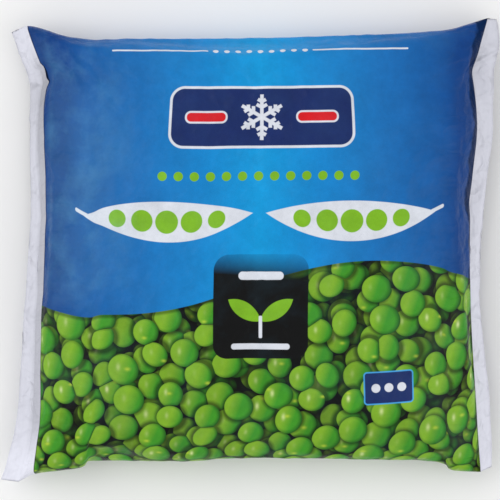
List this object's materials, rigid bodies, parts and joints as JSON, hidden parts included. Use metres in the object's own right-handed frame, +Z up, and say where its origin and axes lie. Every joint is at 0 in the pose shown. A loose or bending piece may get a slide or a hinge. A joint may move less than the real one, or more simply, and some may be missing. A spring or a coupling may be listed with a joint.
{
  "type": "frozen vegetable bag",
  "caption": "Sealed pillow bag of frozen peas in printed film, lying on its back, with a flat white seal at each end and ears at its corners.",
  "frame": {"origin": "centre of the bag's outline seen from above, on the table that its flat back rests on", "axes": "+X along the bag's width, from the left end seal to the right one; +Y up the printed front; +Z up, out of the printed front"},
  "size_m": [0.2796, 0.26, 0.0514],
  "materials": {
    "printed_film": "satin printed polyethylene film, blue above and pea green below, white at the end seals"
  },
  "bodies": {
    "root": {"pea_bag": "printed_film"}
  },
  "joints": []
}
